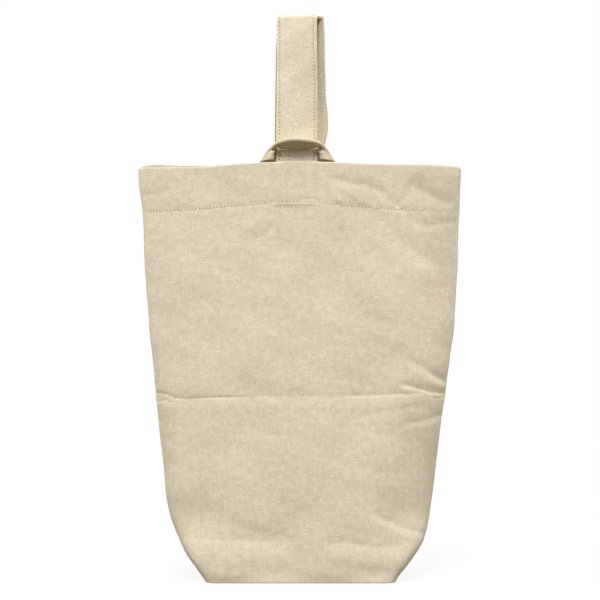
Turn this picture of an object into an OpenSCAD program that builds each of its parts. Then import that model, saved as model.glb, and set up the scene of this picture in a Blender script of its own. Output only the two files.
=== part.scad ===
// Canvas carrier for two bottles: a flat sewn bag with a boxed base, a turned
// hem round the mouth, one long strap doubled into a handle and a short tape
// loop on the back hem that the strap is threaded through.
// The bag stands on its base: X is its width, Y its depth (front is -Y), Z is up.
// The origin is in the middle of the base, on the surface it stands on.

/* [Bag] */
// Height of the bag at the middle of its mouth
bag_h = 350; // [250:1:450]
// Width of the bag at its mouth, seam to seam
mouth_w = 274; // [220:1:340]
// Depth of the mouth as it hangs open, outside to outside
mouth_d = 22; // [20:1:40]
// Width of the flat base
base_w = 162; // [130:1:200]
// Depth of the flat base, which the boxed corners set
base_d = 110; // [80:1:140]
// Thickness of the canvas
cloth_t = 0.8; // [0.5:0.1:1.2]
// How far the top edge falls from the middle to the side seams
mouth_dip = 7; // [0:1:12]

/* [Hem and seams] */
// Height of the turned hem
hem_h = 34.5; // [25:0.5:45]
// Width of the seam allowance inside the bag
allowance_w = 8; // [5:1:12]
// Thickness of the two overlocked allowances together
allowance_t = 1.2; // [0.8:0.1:1.6]
// Distance from the side seam to the outer edge of its allowance
allowance_inset = 1.8; // [1.8:0.1:3]
// Width of a row of thread
thread_w = 0.7; // [0.4:0.1:1]
// How far a row of thread stands proud of the cloth
thread_h = 0.35; // [0.2:0.05:0.6]
// Gap between a row of thread and the cloth under it
thread_clearance = 0.03; // [0.02:0.01:0.1]

/* [Strap] */
// Width of the strap
strap_w = 35; // [25:1:45]
// Thickness of the strap, a canvas strip folded and edge stitched
strap_t = 2.3; // [1.6:0.1:3]
// Gap between the two strands where they lie together
strand_gap = 0.2; // [0.1:0.1:0.4]
// Height from the ground to the top of the hanging strap
strap_top = 476; // [440:1:560]
// Distance between the middles of the two strands at the top
strand_spread = 18; // [12:1:24]
// Angle that the top of the strap is turned by
strap_turn = 16; // [0:1:20]
// Length of strap over which the strands stay together above the hem
strand_together = 20; // [15:1:30]
// Distance of the strap's middle from the bag's middle, to the left
strap_shift = 2.6; // [0:0.1:6]
// Distance from the strap's edge to its row of thread
thread_inset = 2.6; // [1.5:0.1:5]

/* [Closing loop] */
// Width of the tape that the loop is made of
loop_w = 12; // [10:1:14]
// Thickness of the loop's tape
loop_t = 2; // [1.4:0.1:2.2]
// Free space between the strap's edge and the loop, on each side
loop_side_gap = 2.2; // [2:0.1:6]
// How far the loop's crown reaches in front of the strap
loop_reach = 9; // [7:0.5:14]
// Height of the crown's front edge above the hem
loop_rise = 19; // [16:0.5:26]
// Free space between the strap and the back edge of the crown
crown_clearance = 2; // [0.8:0.1:3]

/* [Joints] */
// Gap between a sewn-in end and the part of it that bends
bend_clearance = 0.3; // [0.2:0.1:0.6]

/* [Hidden] */
$fn = 48;
canvas = [0.87, 0.81, 0.70];
canvas_inside = [0.80, 0.73, 0.61];
strap_colour = [0.89, 0.84, 0.74];
thread_colour = [0.93, 0.90, 0.83];

// The bag's side outline, as shares of the way from the base width to the
// mouth width, against shares of the height.
flare_shares = [[0, 0], [0.026, 0.17], [0.055, 0.29], [0.085, 0.40], [0.115, 0.47],
    [0.145, 0.515], [0.2, 0.585], [0.29, 0.64], [0.4, 0.72], [0.52, 0.81],
    [0.64, 0.885], [0.76, 0.935], [0.88, 0.955], [0.95, 0.98], [1, 1]];
// How full the bag stands, as shares of the way from the mouth depth to the
// base depth, against shares of the height up to the hem.
fullness_shares = [[0, 1], [0.11, 0.93], [0.25, 0.79], [0.48, 0.53], [0.66, 0.33],
    [0.8, 0.19], [0.9, 0.08], [1, 0]];
// How square the bag is in plan: the exponent across its width.
square_shares = [[0, 30], [0.03, 16], [0.06, 8], [0.1, 6], [0.25, 7], [0.5, 8],
    [0.75, 7], [0.9, 9], [1, 7]];
// Where the rows of points lie, as shares of the height up to the hem.
wall_shares = [0, 0.028, 0.06, 0.095, 0.135, 0.19, 0.27, 0.36, 0.47, 0.59, 0.71,
    0.82, 0.92, 0.997];
corner_extra = 7;
corner_fall = 14;
panel_columns = 20;

hem_t = 2*cloth_t;
hem_share = 1 - hem_h/bag_h;
hem_inside_y = mouth_d/2 - hem_t;
row_shares = concat([for (s = wall_shares) s*hem_share],
    [hem_share, (hem_share + 1)/2, 1]);

strap_stack = 2*strap_t + strand_gap;
strap_x = -strap_shift;
strap_y = -hem_inside_y + strap_stack/2;
root_top = bag_h + bend_clearance/2;
root_h = hem_h - thread_w;
strap_axis_z = root_top + bend_clearance + strap_stack/2;
loop_y = hem_inside_y - loop_t/2;
loop_axis_z = root_top + bend_clearance + loop_t/2;
loop_inner_left = strap_x - strap_w/2 - loop_side_gap;
loop_inner_right = strap_x + strap_w/2 + loop_side_gap;
bend_r = strand_spread/2;
bend_z = strap_top - strap_t/2 - bend_r;

// Half width, half depth and plan outline of the bag at a share of its height.
function halfW(s) = base_w/2 + (mouth_w - base_w)/2*lookup(s, flare_shares);
function halfD(s) = mouth_d/2 + (base_d - mouth_d)/2*lookup(s/hem_share, fullness_shares);
function cornerPower(s) = 1 + corner_extra*pow(1 - s, corner_fall);
function outline(s, q) = pow(max(0, 1 - pow(abs(q), lookup(s, square_shares))),
    1/cornerPower(s));
function column(i) = sin(180*i/panel_columns - 90);
function wallPoint(s, q, inset) = [(halfW(s) - inset)*q,
    -(halfD(s) - inset)*outline(s, q), s*bag_h - mouth_dip*q*q*s*s];
function wallRow(s, inset) = [for (i = [0:panel_columns]) wallPoint(s, column(i), inset)];
function seamRow(inset) = [for (i = [0:panel_columns])
    [(halfW(0) - inset)*column(i), 0, inset]];
function lifted(row, dz) = [for (p = row) p + [0, 0, dz]];
function insetAt(s) = s >= hem_share ? hem_t : cloth_t;

// A sheet with thickness: two grids of points, outside and inside, joined round
// their edges. A pinched sheet has the ends of its first row on its second.
module sheetSolid(outside, inside, pinched = false) {
    rows = len(outside);
    cols = len(outside[0]);
    function row(r, i) = (pinched && r == 0 && (i == 0 || i == cols - 1)) ? 1 : r;
    function a(r, i) = row(r, i)*cols + i;
    function b(r, i) = (rows + row(r, i))*cols + i;
    function quad(p, q, r, s) = [[p, q, r], [p, r, s]];
    quads = concat(
        [for (r = [0:rows - 2], i = [0:cols - 2])
            quad(a(r, i), a(r + 1, i), a(r + 1, i + 1), a(r, i + 1))],
        [for (r = [0:rows - 2], i = [0:cols - 2])
            quad(b(r, i), b(r, i + 1), b(r + 1, i + 1), b(r + 1, i))],
        [for (r = [0:rows - 2]) quad(b(r, 0), b(r + 1, 0), a(r + 1, 0), a(r, 0))],
        [for (r = [0:rows - 2], i = cols - 1)
            quad(a(r, i), a(r + 1, i), b(r + 1, i), b(r, i))],
        [for (i = [0:cols - 2]) quad(a(0, i), a(0, i + 1), b(0, i + 1), b(0, i))],
        [for (r = rows - 1, i = [0:cols - 2])
            quad(a(r, i + 1), a(r, i), b(r, i), b(r, i + 1))]);
    polyhedron(
        points = concat([for (r = outside, p = r) p], [for (r = inside, p = r) p]),
        faces = [for (q = quads, f = q)
            if (f[0] != f[1] && f[1] != f[2] && f[2] != f[0]) f],
        convexity = 6);
}

// One side of the bag, from the seam under the base up to the turned hem.
module panel() {
    sheetSolid(
        concat([seamRow(0)], [for (s = row_shares) wallRow(s, 0)]),
        concat([lifted(seamRow(cloth_t), 0)], [lifted(wallRow(0, cloth_t), cloth_t)],
            [for (k = [1:len(row_shares) - 1])
                wallRow(row_shares[k], insetAt(row_shares[k]))]),
        pinched = true);
}

module front_panel() {
    color(canvas) panel();
}

module back_panel() {
    color(canvas) mirror([0, 1, 0]) panel();
}

// The row of thread that holds the hem, along one side of the bag.
module hemThread() {
    low = hem_share - thread_w/2/bag_h;
    high = hem_share + thread_w/2/bag_h;
    over = thread_clearance + thread_h;
    sheetSolid([wallRow(low, -over), wallRow(high, -over)],
        [wallRow(low, -thread_clearance), wallRow(high, -thread_clearance)]);
}

module hem_stitching_front() {
    color(thread_colour) hemThread();
}

module hem_stitching_back() {
    color(thread_colour) mirror([0, 1, 0]) hemThread();
}

// The seam allowance of a side seam, standing inward between the panels.
module sideAllowance() {
    low = base_d/2/bag_h;
    shares = [for (k = [0:12]) low + (1 - low)*k/12];
    edge = [for (s = shares) [halfW(s) - hem_t - allowance_inset,
        s*bag_h - mouth_dip*s*s - thread_w]];
    rotate([90, 0, 0]) linear_extrude(height = allowance_t, center = true)
        polygon(concat(edge, [for (k = [len(edge) - 1:-1:0]) edge[k] - [allowance_w, 0]]));
}

module side_seam_right() {
    color(canvas_inside) sideAllowance();
}

module side_seam_left() {
    color(canvas_inside) mirror([1, 0, 0]) sideAllowance();
}

// The pressed-open allowance of the seam under the base, between the corners.
module base_seam() {
    color(canvas_inside)
        translate([0, 0, cloth_t + allowance_t/2])
            cube([base_w - 4*allowance_w, 2*allowance_w, allowance_t], center = true);
}

// The allowance of a boxed corner, across the end of the base.
module cornerAllowance() {
    translate([base_w/2 - allowance_w, 0, cloth_t + allowance_t/2])
        cube([allowance_w, base_d - 2*allowance_w, allowance_t], center = true);
}

module corner_seam_right() {
    color(canvas_inside) cornerAllowance();
}

module corner_seam_left() {
    color(canvas_inside) mirror([1, 0, 0]) cornerAllowance();
}

// Both ends of the strap, one on the other, sewn in behind the front hem.
module strap_root() {
    color(strap_colour)
        translate([strap_x - strap_w/2, strap_y - strap_stack/2, root_top - root_h])
            cube([strap_w, strap_stack, root_h]);
}

// The strap's route: up the front strand, over the top and down the rear one.
// Each step holds the middle of the strap, the direction across it and the
// direction out of its outer face.
strand_steps = 14;
bend_steps = 12;
function smooth(u) = u <= 0 ? 0 : u >= 1 ? 1 : u*u*(3 - 2*u);
strand_low = strap_axis_z;
strand_split = strap_axis_z + strand_together;
function turnAt(z) = strap_turn*smooth((z - strand_split)/(bend_z - strand_split));
function apartAt(z) = (strap_t + strand_gap)/2
    + (strand_spread/2 - (strap_t + strand_gap)/2)*smooth((z - strand_split)
    /(bend_z - strand_split));
function across(turn) = [cos(turn), -sin(turn), 0];
function away(turn) = [sin(turn), cos(turn), 0];
// The middle of the two strands moves back and right as they part.
function middleAt(z) = [strap_x + strand_spread/2*sin(turnAt(z)),
    strap_y + (strand_spread - strap_stack)/2*smooth((z - strand_split)
    /(bend_z - strand_split)), z];
function strandStep(z, side) = [middleAt(z) + side*apartAt(z)*away(turnAt(z)),
    across(turnAt(z)), side*away(turnAt(z))];
function bendStep(b) = let (out = [0, 0, sin(b)] - cos(b)*away(strap_turn))
    [middleAt(bend_z) + bend_r*out, across(strap_turn), out];
strap_route = concat(
    [for (k = [0:strand_steps]) strandStep(strand_low
        + (bend_z - strand_low)*k/strand_steps, -1)],
    [for (k = [1:bend_steps - 1]) bendStep(180*k/bend_steps)],
    [for (k = [strand_steps:-1:0]) strandStep(strand_low
        + (bend_z - strand_low)*k/strand_steps, 1)]);

// A band along a route: it lies between two distances across and two out.
module band(route, from_across, to_across, from_out, to_out) {
    sheetSolid(
        [for (p = route) [p[0] + from_across*p[1] + to_out*p[2],
            p[0] + to_across*p[1] + to_out*p[2]]],
        [for (p = route) [p[0] + from_across*p[1] + from_out*p[2],
            p[0] + to_across*p[1] + from_out*p[2]]]);
}

// The doubled strap above the hem, with the round where it bends over.
module handle_strap() {
    color(strap_colour) {
        band(strap_route, -strap_w/2, strap_w/2, -strap_t/2, strap_t/2);
        translate([strap_x, strap_y, strap_axis_z]) rotate([0, 90, 0])
            cylinder(h = strap_w, r = strap_stack/2, center = true);
    }
}

// A row of thread along one edge of the strap, on its outer face.
thread_route = [for (k = [1:len(strap_route) - 2]) strap_route[k]];
module strapThread(side) {
    middle = side*(strap_w/2 - thread_inset);
    low = strap_t/2 + thread_clearance;
    band(thread_route, middle - thread_w/2, middle + thread_w/2, low, low + thread_h);
}

module strap_stitching_left() {
    color(thread_colour) strapThread(-1);
}

module strap_stitching_right() {
    color(thread_colour) strapThread(1);
}

// The ends of the loop's tape, sewn in behind the back hem.
module loopRoot(x) {
    translate([x, loop_y - loop_t/2, root_top - root_h])
        cube([loop_w, loop_t, root_h]);
}

module loop_root_left() {
    color(strap_colour) loopRoot(loop_inner_left - loop_w);
}

module loop_root_right() {
    color(strap_colour) loopRoot(loop_inner_right);
}

// The loop's tape, as its two edges. Each place holds a share across from the
// inside of the left root to the inside of the right one, with the tape's width
// outside it, a share forward from the root to the crown, and a share up.
crown_back_y = -hem_inside_y - crown_clearance - loop_t/2;
crown_front_y = crown_back_y - loop_reach;
crown_front_z = bag_h + loop_rise;
crown_drop_share = 0.48;
// [share out by the tape's width, share across, share forward, share up]
outer_edge_shares = [[-1, 0, 0, 0], [-0.72, 0, 0.22, 0.27], [-0.42, 0, 0.46, 0.55],
    [-0.1, 0.02, 0.7, 0.76], [0, 0.14, 0.86, 0.91], [0, 0.3, 0.96, 0.98],
    [0, 0.5, 1, 1], [0, 0.72, 0.97, 0.985], [0, 0.9, 0.84, 0.9],
    [0.14, 0.98, 0.68, 0.75], [0.42, 1, 0.46, 0.55], [0.72, 1, 0.22, 0.27], [1, 1, 0, 0]];
inner_edge_shares = [[0, 0, 0, 0], [0, 0, 0.3, 0.2], [0, 0, 0.62, 0.38],
    [0, 0, 0.86, 0.6], [0, 0.015, 0.98, 0.8], [0, 0.16, 1, 0.95],
    [0, 0.5, 1, 1], [0, 0.84, 1, 0.96], [0, 0.985, 0.98, 0.82],
    [0, 1, 0.86, 0.62], [0, 1, 0.62, 0.38], [0, 1, 0.3, 0.2], [0, 1, 0, 0]];
function edgePoint(e, y_end, z_end) = [
    loop_inner_left + (loop_inner_right - loop_inner_left)*e[1] + loop_w*e[0],
    loop_y + (y_end - loop_y)*e[2], loop_axis_z + (z_end - loop_axis_z)*e[3]];
function unit(v) = v/norm(v);
loop_outer_edge = [for (e = outer_edge_shares)
    edgePoint(e, crown_front_y, crown_front_z)];
loop_inner_edge = [for (e = inner_edge_shares)
    edgePoint(e, crown_back_y, loop_axis_z
        + crown_drop_share*(crown_front_z - loop_axis_z))];
loop_last = len(loop_outer_edge) - 1;
// Along each place: the middle, the direction across and the one out of the lower face.
function loopStep(k) = let (
        o = loop_outer_edge[k],
        i = loop_inner_edge[k],
        before = (loop_outer_edge[max(k - 1, 0)] + loop_inner_edge[max(k - 1, 0)])/2,
        after = (loop_outer_edge[min(k + 1, loop_last)]
            + loop_inner_edge[min(k + 1, loop_last)])/2,
        over = unit(cross(i - o, after - before)))
    [(o + i)/2, (i - o)/2, (k == 0 || k == loop_last) ? [0, -1, 0] : over];
loop_route = [for (k = [0:loop_last]) loopStep(k)];

module closing_loop() {
    color(strap_colour) {
        band(loop_route, -1, 1, -loop_t/2, loop_t/2);
        for (x = [loop_inner_left - loop_w/2, loop_inner_right + loop_w/2])
            translate([x, loop_y, loop_axis_z]) rotate([0, 90, 0])
                cylinder(h = loop_w, r = loop_t/2, center = true);
    }
}

// A row of thread along one edge of the loop, as a share of its half width.
thread_place_share = 0.62;
module loopThread(side) {
    route = [for (k = [1:loop_last - 1]) loop_route[k]];
    low = loop_t/2 + thread_clearance;
    half_share = thread_w/loop_w;
    band(route, side*thread_place_share - half_share, side*thread_place_share + half_share,
        low, low + thread_h);
}

module loop_stitching_front() {
    color(thread_colour) loopThread(-1);
}

module loop_stitching_back() {
    color(thread_colour) loopThread(1);
}

front_panel();
back_panel();
side_seam_left();
side_seam_right();
base_seam();
corner_seam_left();
corner_seam_right();
hem_stitching_front();
hem_stitching_back();
strap_root();
loop_root_left();
loop_root_right();
handle_strap();
strap_stitching_left();
strap_stitching_right();
closing_loop();
loop_stitching_front();
loop_stitching_back();
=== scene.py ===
import math

import bpy
import numpy as np
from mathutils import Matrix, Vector


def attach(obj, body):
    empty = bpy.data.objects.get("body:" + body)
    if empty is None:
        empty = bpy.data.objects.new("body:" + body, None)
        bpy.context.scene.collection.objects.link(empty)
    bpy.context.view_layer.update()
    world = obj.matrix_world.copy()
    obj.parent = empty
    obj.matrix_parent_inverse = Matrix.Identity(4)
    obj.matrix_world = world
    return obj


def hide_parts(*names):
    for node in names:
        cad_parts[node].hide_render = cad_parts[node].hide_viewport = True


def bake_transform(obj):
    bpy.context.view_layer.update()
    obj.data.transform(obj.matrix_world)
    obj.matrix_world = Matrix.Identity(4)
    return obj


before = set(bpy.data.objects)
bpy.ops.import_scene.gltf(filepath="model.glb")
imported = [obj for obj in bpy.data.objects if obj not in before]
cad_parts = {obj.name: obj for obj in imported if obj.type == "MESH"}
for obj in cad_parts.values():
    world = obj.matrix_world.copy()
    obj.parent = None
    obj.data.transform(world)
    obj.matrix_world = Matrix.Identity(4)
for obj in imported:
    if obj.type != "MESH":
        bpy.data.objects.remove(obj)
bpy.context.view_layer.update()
mm = 0.001
# Millimetres of the bag to one step of the photograph's frame.
photoStep = 0.85
stitchPitch = 3.05*mm

camera = {"distance": 1.8, "height": 0.2335, "focalPixels": 2118.0, "sensor": 36.0,
          "frame": 600, "far": 60}


def addObject(name, data):
    item = bpy.data.objects.new(name, data)
    bpy.context.scene.collection.objects.link(item)
    return item


def makeCamera():
    data = bpy.data.cameras.new("view")
    data.sensor_width = camera["sensor"]
    data.lens = camera["focalPixels"]*camera["sensor"]/camera["frame"]
    data.clip_end = camera["far"]
    item = addObject("view", data)
    item.location = (0, -camera["distance"], camera["height"])
    item.rotation_euler = (math.pi/2, 0, 0)
    bpy.context.scene.camera = item


# Where a place in the photograph's frame lies, for a known depth, and back.
def toFrame(x, y, z):
    scale = camera["focalPixels"]/(camera["distance"] + y)
    centre = camera["frame"]/2
    return centre + x*scale, centre - (z - camera["height"])*scale


def fromFrame(across, down, y):
    scale = (camera["distance"] + y)/camera["focalPixels"]
    centre = camera["frame"]/2
    return (across - centre)*scale, camera["height"] + (centre - down)*scale


makeCamera()


# A shader socket that can be used in sums.
class Wire:
    def __init__(self, nodes, socket):
        self.nodes = nodes
        self.socket = socket

    def maths(self, kind, first, second=None):
        values = {0: first} if second is None else {0: first, 1: second}
        return self.nodes.add("ShaderNodeMath", {"operation": kind}, values)

    def __add__(self, other):
        return self.maths("ADD", self, other)

    def __sub__(self, other):
        return self.maths("SUBTRACT", self, other)

    def __mul__(self, other):
        return self.maths("MULTIPLY", self, other)

    def __truediv__(self, other):
        return self.maths("DIVIDE", self, other)

    # A wave between 0 and 1, one to each whole number.
    def wave(self):
        return self.maths("SINE", self*math.tau)*0.5 + 0.5

    def size(self):
        return self.maths("ABSOLUTE", self)

    def part(self):
        return self.maths("FRACT", self)

    # From 0 to 1 as the value goes from low to high.
    def ramp(self, low, high):
        return self.nodes.add("ShaderNodeMapRange",
                              {"interpolation_type": "SMOOTHSTEP"},
                              {"Value": self, "From Min": low, "From Max": high})


# The nodes of a material, of the world or of a modifier.
class Nodes:
    def __init__(self, tree):
        self.tree = tree
        tree.nodes.clear()

    def add(self, kind, settings=None, values=None, output=0):
        node = self.tree.nodes.new(kind)
        for key, value in (settings or {}).items():
            setattr(node, key, value)
        for key, value in (values or {}).items():
            if isinstance(value, Wire):
                self.tree.links.new(value.socket, node.inputs[key])
            else:
                node.inputs[key].default_value = value
        return Wire(self, node.outputs[output]) if node.outputs else node

    def mix(self, factor, first, second, kind="MIX"):
        return self.add("ShaderNodeMix", {"data_type": "RGBA", "blend_type": kind},
                        {0: factor, 6: first, 7: second}, 2)

    def noise(self, place, scale, detail=2.0, rough=0.5):
        return self.add("ShaderNodeTexNoise", None,
                        {"Vector": place, "Scale": scale, "Detail": detail,
                         "Roughness": rough})

    # Parts of a place: 0 is x, 1 is y and 2 is z.
    def parts(self, place, *which):
        return [self.add("ShaderNodeSeparateXYZ", None, {0: place}, k) for k in which]

    def mapped(self, place, scale, turn=0.0):
        return self.add("ShaderNodeMapping", None,
                        {"Vector": place, "Rotation": (0, 0, turn), "Scale": scale})

    # The look of a cloth or thread: its colour, how high it stands and how deep its
    # bumps are.
    def cover(self, shade, height, strength, deep, settings):
        normal = self.add("ShaderNodeBump", None,
                          {"Height": height, "Strength": strength, "Distance": deep})
        surface = self.add("ShaderNodeBsdfPrincipled", None,
                           {"Base Color": shade, "Normal": normal} | settings)
        self.add("ShaderNodeOutputMaterial", None, {"Surface": surface})


def shaderNodes(holder):
    holder.use_nodes = True
    return Nodes(holder.node_tree)


# A colour as it is read off a screen, 0 to 255, turned into the shader's own scale.
def colour(red, green, blue):
    def straight(value):
        value = value/255
        return value/12.92 if value <= 0.04045 else ((value + 0.055)/1.055)**2.4
    return (straight(red), straight(green), straight(blue), 1.0)


# Each cloth's colours, the pitch (mm) and slant of its ribs, and how strong the ribs
# across, the yarns, the bumps, the grain, the needle holes and the painted shade are.
cloths = {
    "canvas": {"light": (236, 226, 208), "dark": (191, 171, 132), "hole": (130, 100, 56),
               "rib": 1.15, "tilt": -1, "cross": 0.38, "streak": 0.3, "rough": 0.92,
               "bump": 0.32, "grain": 1.1, "fleck": 0.25, "holes": 0.75, "patchy": 0.55,
               "paintedShade": 0.0},
    "canvas_inside": {"light": (222, 208, 181), "dark": (186, 168, 136),
                      "hole": (128, 104, 70), "rib": 1.15, "tilt": 1, "cross": 0.38,
                      "streak": 0.3, "rough": 0.95, "bump": 0.5, "grain": 1.2,
                      "fleck": 0.2, "holes": 0.0, "patchy": 0.0, "paintedShade": 0.0},
    "strap_canvas": {"light": (248, 239, 219), "dark": (206, 187, 151),
                     "hole": (142, 108, 62), "rib": 1.05, "tilt": -1, "cross": 0.3,
                     "streak": 0.25, "rough": 0.9, "bump": 0.5, "grain": 1.6,
                     "fleck": 0.9, "holes": 0.85, "patchy": 0.0, "paintedShade": 0.75},
}
# How fine the parts of the pattern are, as scales of noise, and its few lengths.
pattern = {"wander": 420, "wanderFar": 1.1*mm, "diagonal": 1.414, "crossPitch": 1.07,
           "yarn": 1150, "yarnLong": 0.045, "blotch": 190, "broad": 26, "grain": 1400,
           "fleck": 480, "speck": 640, "slub": 620, "slubLong": 0.24, "slubTurn": 0.12,
           "patch": 130, "holeWide": 0.52*mm, "holeCore": 0.15*mm, "grooveShade": 1.5*mm,
           "paintedShadeFrom": 8*mm, "paintedShadeTo": 11*mm, "deep": 0.22*mm}
tones = {"plain": 0.58, "weave": 0.85, "yarns": 0.8, "blotch": 0.75, "broad": 0.2}
# The grooveShade and paintedShade colours are painted shade, not marks of the cloth.
spots = {"slub": (246, 240, 226), "speck": (150, 126, 88), "grooveShade": (150, 128, 92),
         "paintedShade": (150, 124, 84)}


# Cotton twill: fine slanting ribs, thick and thin yarns both ways, soft blotches and
# flecks. The map "cloth" holds metres along the weft and the warp, and the map "row"
# metres along and off the nearest row of stitches.
def clothMaterial(name, spec):
    material = bpy.data.materials.new(name)
    nodes = shaderNodes(material)
    cloth = nodes.add("ShaderNodeUVMap", {"uv_map": "cloth"})
    row = nodes.add("ShaderNodeUVMap", {"uv_map": "row"})
    along, up = nodes.parts(cloth, 0, 1)
    rowAlong, rowOff = nodes.parts(row, 0, 1)
    wander = (nodes.noise(cloth, pattern["wander"]) - 0.5)*pattern["wanderFar"]
    pitch = spec["rib"]*mm*pattern["diagonal"]
    rib = ((along*spec["tilt"] + up + wander)/pitch).wave()
    crossRib = ((along*-spec["tilt"] + up + wander)/(pitch*pattern["crossPitch"])).wave()
    weave = rib*(1 - spec["cross"]) + crossRib*spec["cross"]
    warp = nodes.noise(nodes.mapped(cloth, (1.0, pattern["yarnLong"], 1.0)),
                       pattern["yarn"], 1.0)
    weft = nodes.noise(nodes.mapped(cloth, (pattern["yarnLong"], 1.0, 1.0)),
                       pattern["yarn"], 1.0)
    yarns = (warp - 0.5)*spec["streak"] + (weft - 0.5)*spec["streak"]
    blotch = nodes.noise(cloth, pattern["blotch"], 3.0, 0.65)
    grain = nodes.noise(cloth, pattern["grain"], 1.0)
    fleck = nodes.noise(cloth, pattern["fleck"], 2.0, 0.6)
    tone = ((weave - 0.5)*tones["weave"] + tones["plain"] + yarns*tones["yarns"]
            + (blotch - 0.5)*tones["blotch"]
            + (nodes.noise(cloth, pattern["broad"]) - 0.5)*tones["broad"]
            + (grain - 0.5)*spec["grain"] + (fleck - 0.5)*spec["fleck"])
    speck = nodes.noise(cloth, pattern["speck"], 1.0).ramp(0.7, 0.78)
    slubs = nodes.mapped(cloth, (pattern["slubLong"], 1.0, 1.0), pattern["slubTurn"])
    slub = nodes.noise(slubs, pattern["slub"], 2.0, 0.6).ramp(0.6, 0.74)
    shown = nodes.noise(row, pattern["patch"], 1.0).ramp(0.24, 0.5)*spec["patchy"] \
        + (1 - spec["patchy"])
    hole = ((rowAlong/stitchPitch).part() - 0.5).size().ramp(0.3, 0.13) \
        * rowOff.size().ramp(pattern["holeWide"], pattern["holeCore"])*shown
    # Painted shade along each row of stitches, in the groove it presses into the cloth.
    grooveShade = rowOff.size().ramp(pattern["grooveShade"], 0.2*mm)
    # Painted shade: where a piece sets its row offset far below zero (the strap's
    # under-ply fold, its rear strand's inner face, the loop's tape), the colour goes
    # towards a dark brown.
    paintedShade = (rowOff*-1).ramp(pattern["paintedShadeFrom"], pattern["paintedShadeTo"])
    shade = nodes.mix(tone.ramp(-0.1, 1.1), colour(*spec["dark"]), colour(*spec["light"]))
    shade = nodes.mix(slub*0.5, shade, colour(*spots["slub"]))
    shade = nodes.mix(speck*0.5, shade, colour(*spots["speck"]))
    shade = nodes.mix(grooveShade*0.07, shade, colour(*spots["grooveShade"]))
    shade = nodes.mix(hole*spec["holes"], shade, colour(*spec["hole"]))
    shade = nodes.mix(paintedShade*spec["paintedShade"], shade, colour(*spots["paintedShade"]))
    height = weave*0.5 + yarns*0.4 + grain*0.25 + blotch*0.3 - hole
    nodes.cover(shade, height, spec["bump"], pattern["deep"],
                {"Roughness": spec["rough"], "Specular IOR Level": 0.15,
                 "Sheen Weight": 0.08, "Sheen Roughness": 0.6})
    return material


# Spun cotton thread: a slanting twist along each stitch.
def threadMaterial():
    material = bpy.data.materials.new("thread")
    nodes = shaderNodes(material)
    place = nodes.add("ShaderNodeTexCoord", None, None, 3)
    x, z = nodes.parts(place, 0, 2)
    twist = ((x + z)/(0.45*mm)).wave()
    fuzz = nodes.noise(place, 1500, 2.0)
    tone = twist*0.6 + fuzz*0.6
    shade = nodes.mix(tone.ramp(0.1, 1.0), colour(226, 215, 191), colour(255, 250, 238))
    nodes.cover(shade, tone, 0.6, 0.12*mm, {"Roughness": 0.8, "Specular IOR Level": 0.2})
    return material


materials = {name: clothMaterial(name, spec) for name, spec in cloths.items()}
materials["thread"] = threadMaterial()
print("materials made")


# The floor throws little light back, so that the folds and the loop keep their shade.
# It goes over into the white behind it from near to far (squares of metres).
floorSpec = {"size": 6.0, "thick": 0.02, "colour": (224, 223, 221), "back": (64, 49, 28),
             "white": 0.88, "near": 0.5, "far": 2.2}
# Each lamp aims at a height over the middle of the floor.
lamps = {
    "front": {"place": (-0.35, -2.4, 3.8), "aim": 0.2, "size": 1.4, "watts": 164,
              "tint": (0.97, 0.99, 1)},
    "behind": {"place": (0.4, 2.9, 1.4), "aim": 0.2, "size": 1.5, "watts": 84,
               "tint": (0.97, 0.985, 1)},
    "left": {"place": (-2.8, -0.8, 1.4), "aim": 0.25, "size": 1.5, "watts": 60,
             "tint": (1, 0.99, 0.97)},
    "right": {"place": (2.8, -0.8, 1.4), "aim": 0.25, "size": 1.5, "watts": 60,
              "tint": (1, 0.99, 0.97)},
}
sky = {"strength": 0.115, "tint": (1, 0.93, 0.84, 1)}
plainWhite = (1, 1, 1, 1)


# 1 for rays that come from the camera, off a mirror or through glass.
def directRays(nodes):
    seen, mirrored, passed = [nodes.add("ShaderNodeLightPath", None, None, k)
                              for k in (0, 3, 6)]
    return seen.maths("MAXIMUM", seen, seen.maths("MAXIMUM", mirrored, passed))


def makeFloor(spec):
    half = spec["size"]/2
    corners = [(x, y, z) for z in (-spec["thick"], 0) for y in (-half, half)
               for x in (-half, half)]
    faces = [(0, 2, 3, 1), (4, 5, 7, 6), (0, 1, 5, 4), (2, 6, 7, 3), (0, 4, 6, 2),
             (1, 3, 7, 5)]
    mesh = bpy.data.meshes.new("floor")
    mesh.from_pydata(corners, [], faces)
    material = bpy.data.materials.new("floor")
    nodes = shaderNodes(material)
    shown = nodes.mix(nodes.add("ShaderNodeLightPath"), colour(*spec["back"]),
                      colour(*spec["colour"]))
    plain = nodes.add("ShaderNodeBsdfPrincipled", None,
                      {"Base Color": shown, "Roughness": 0.9, "Specular IOR Level": 0.1})
    white = nodes.add("ShaderNodeEmission", None, {"Color": plainWhite, "Strength": 1.0})
    x, y = nodes.parts(nodes.add("ShaderNodeTexCoord", None, None, 3), 0, 1)
    away = (x*x + y*y).ramp(spec["near"], spec["far"])
    share = directRays(nodes)*(away*(1 - spec["white"]) + spec["white"])
    either = nodes.add("ShaderNodeMixShader", None, {0: share, 1: plain, 2: white})
    nodes.add("ShaderNodeOutputMaterial", None, {"Surface": either})
    mesh.materials.append(material)
    addObject("floor", mesh)


def makeSky():
    world = bpy.data.worlds.new("sky")
    bpy.context.scene.world = world
    nodes = shaderNodes(world)
    soft = nodes.add("ShaderNodeBackground", None, {0: sky["tint"], 1: sky["strength"]})
    white = nodes.add("ShaderNodeBackground", None, {0: plainWhite, 1: 1.0})
    either = nodes.add("ShaderNodeMixShader", None,
                       {0: directRays(nodes), 1: soft, 2: white})
    nodes.add("ShaderNodeOutputWorld", None, {0: either})


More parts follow.
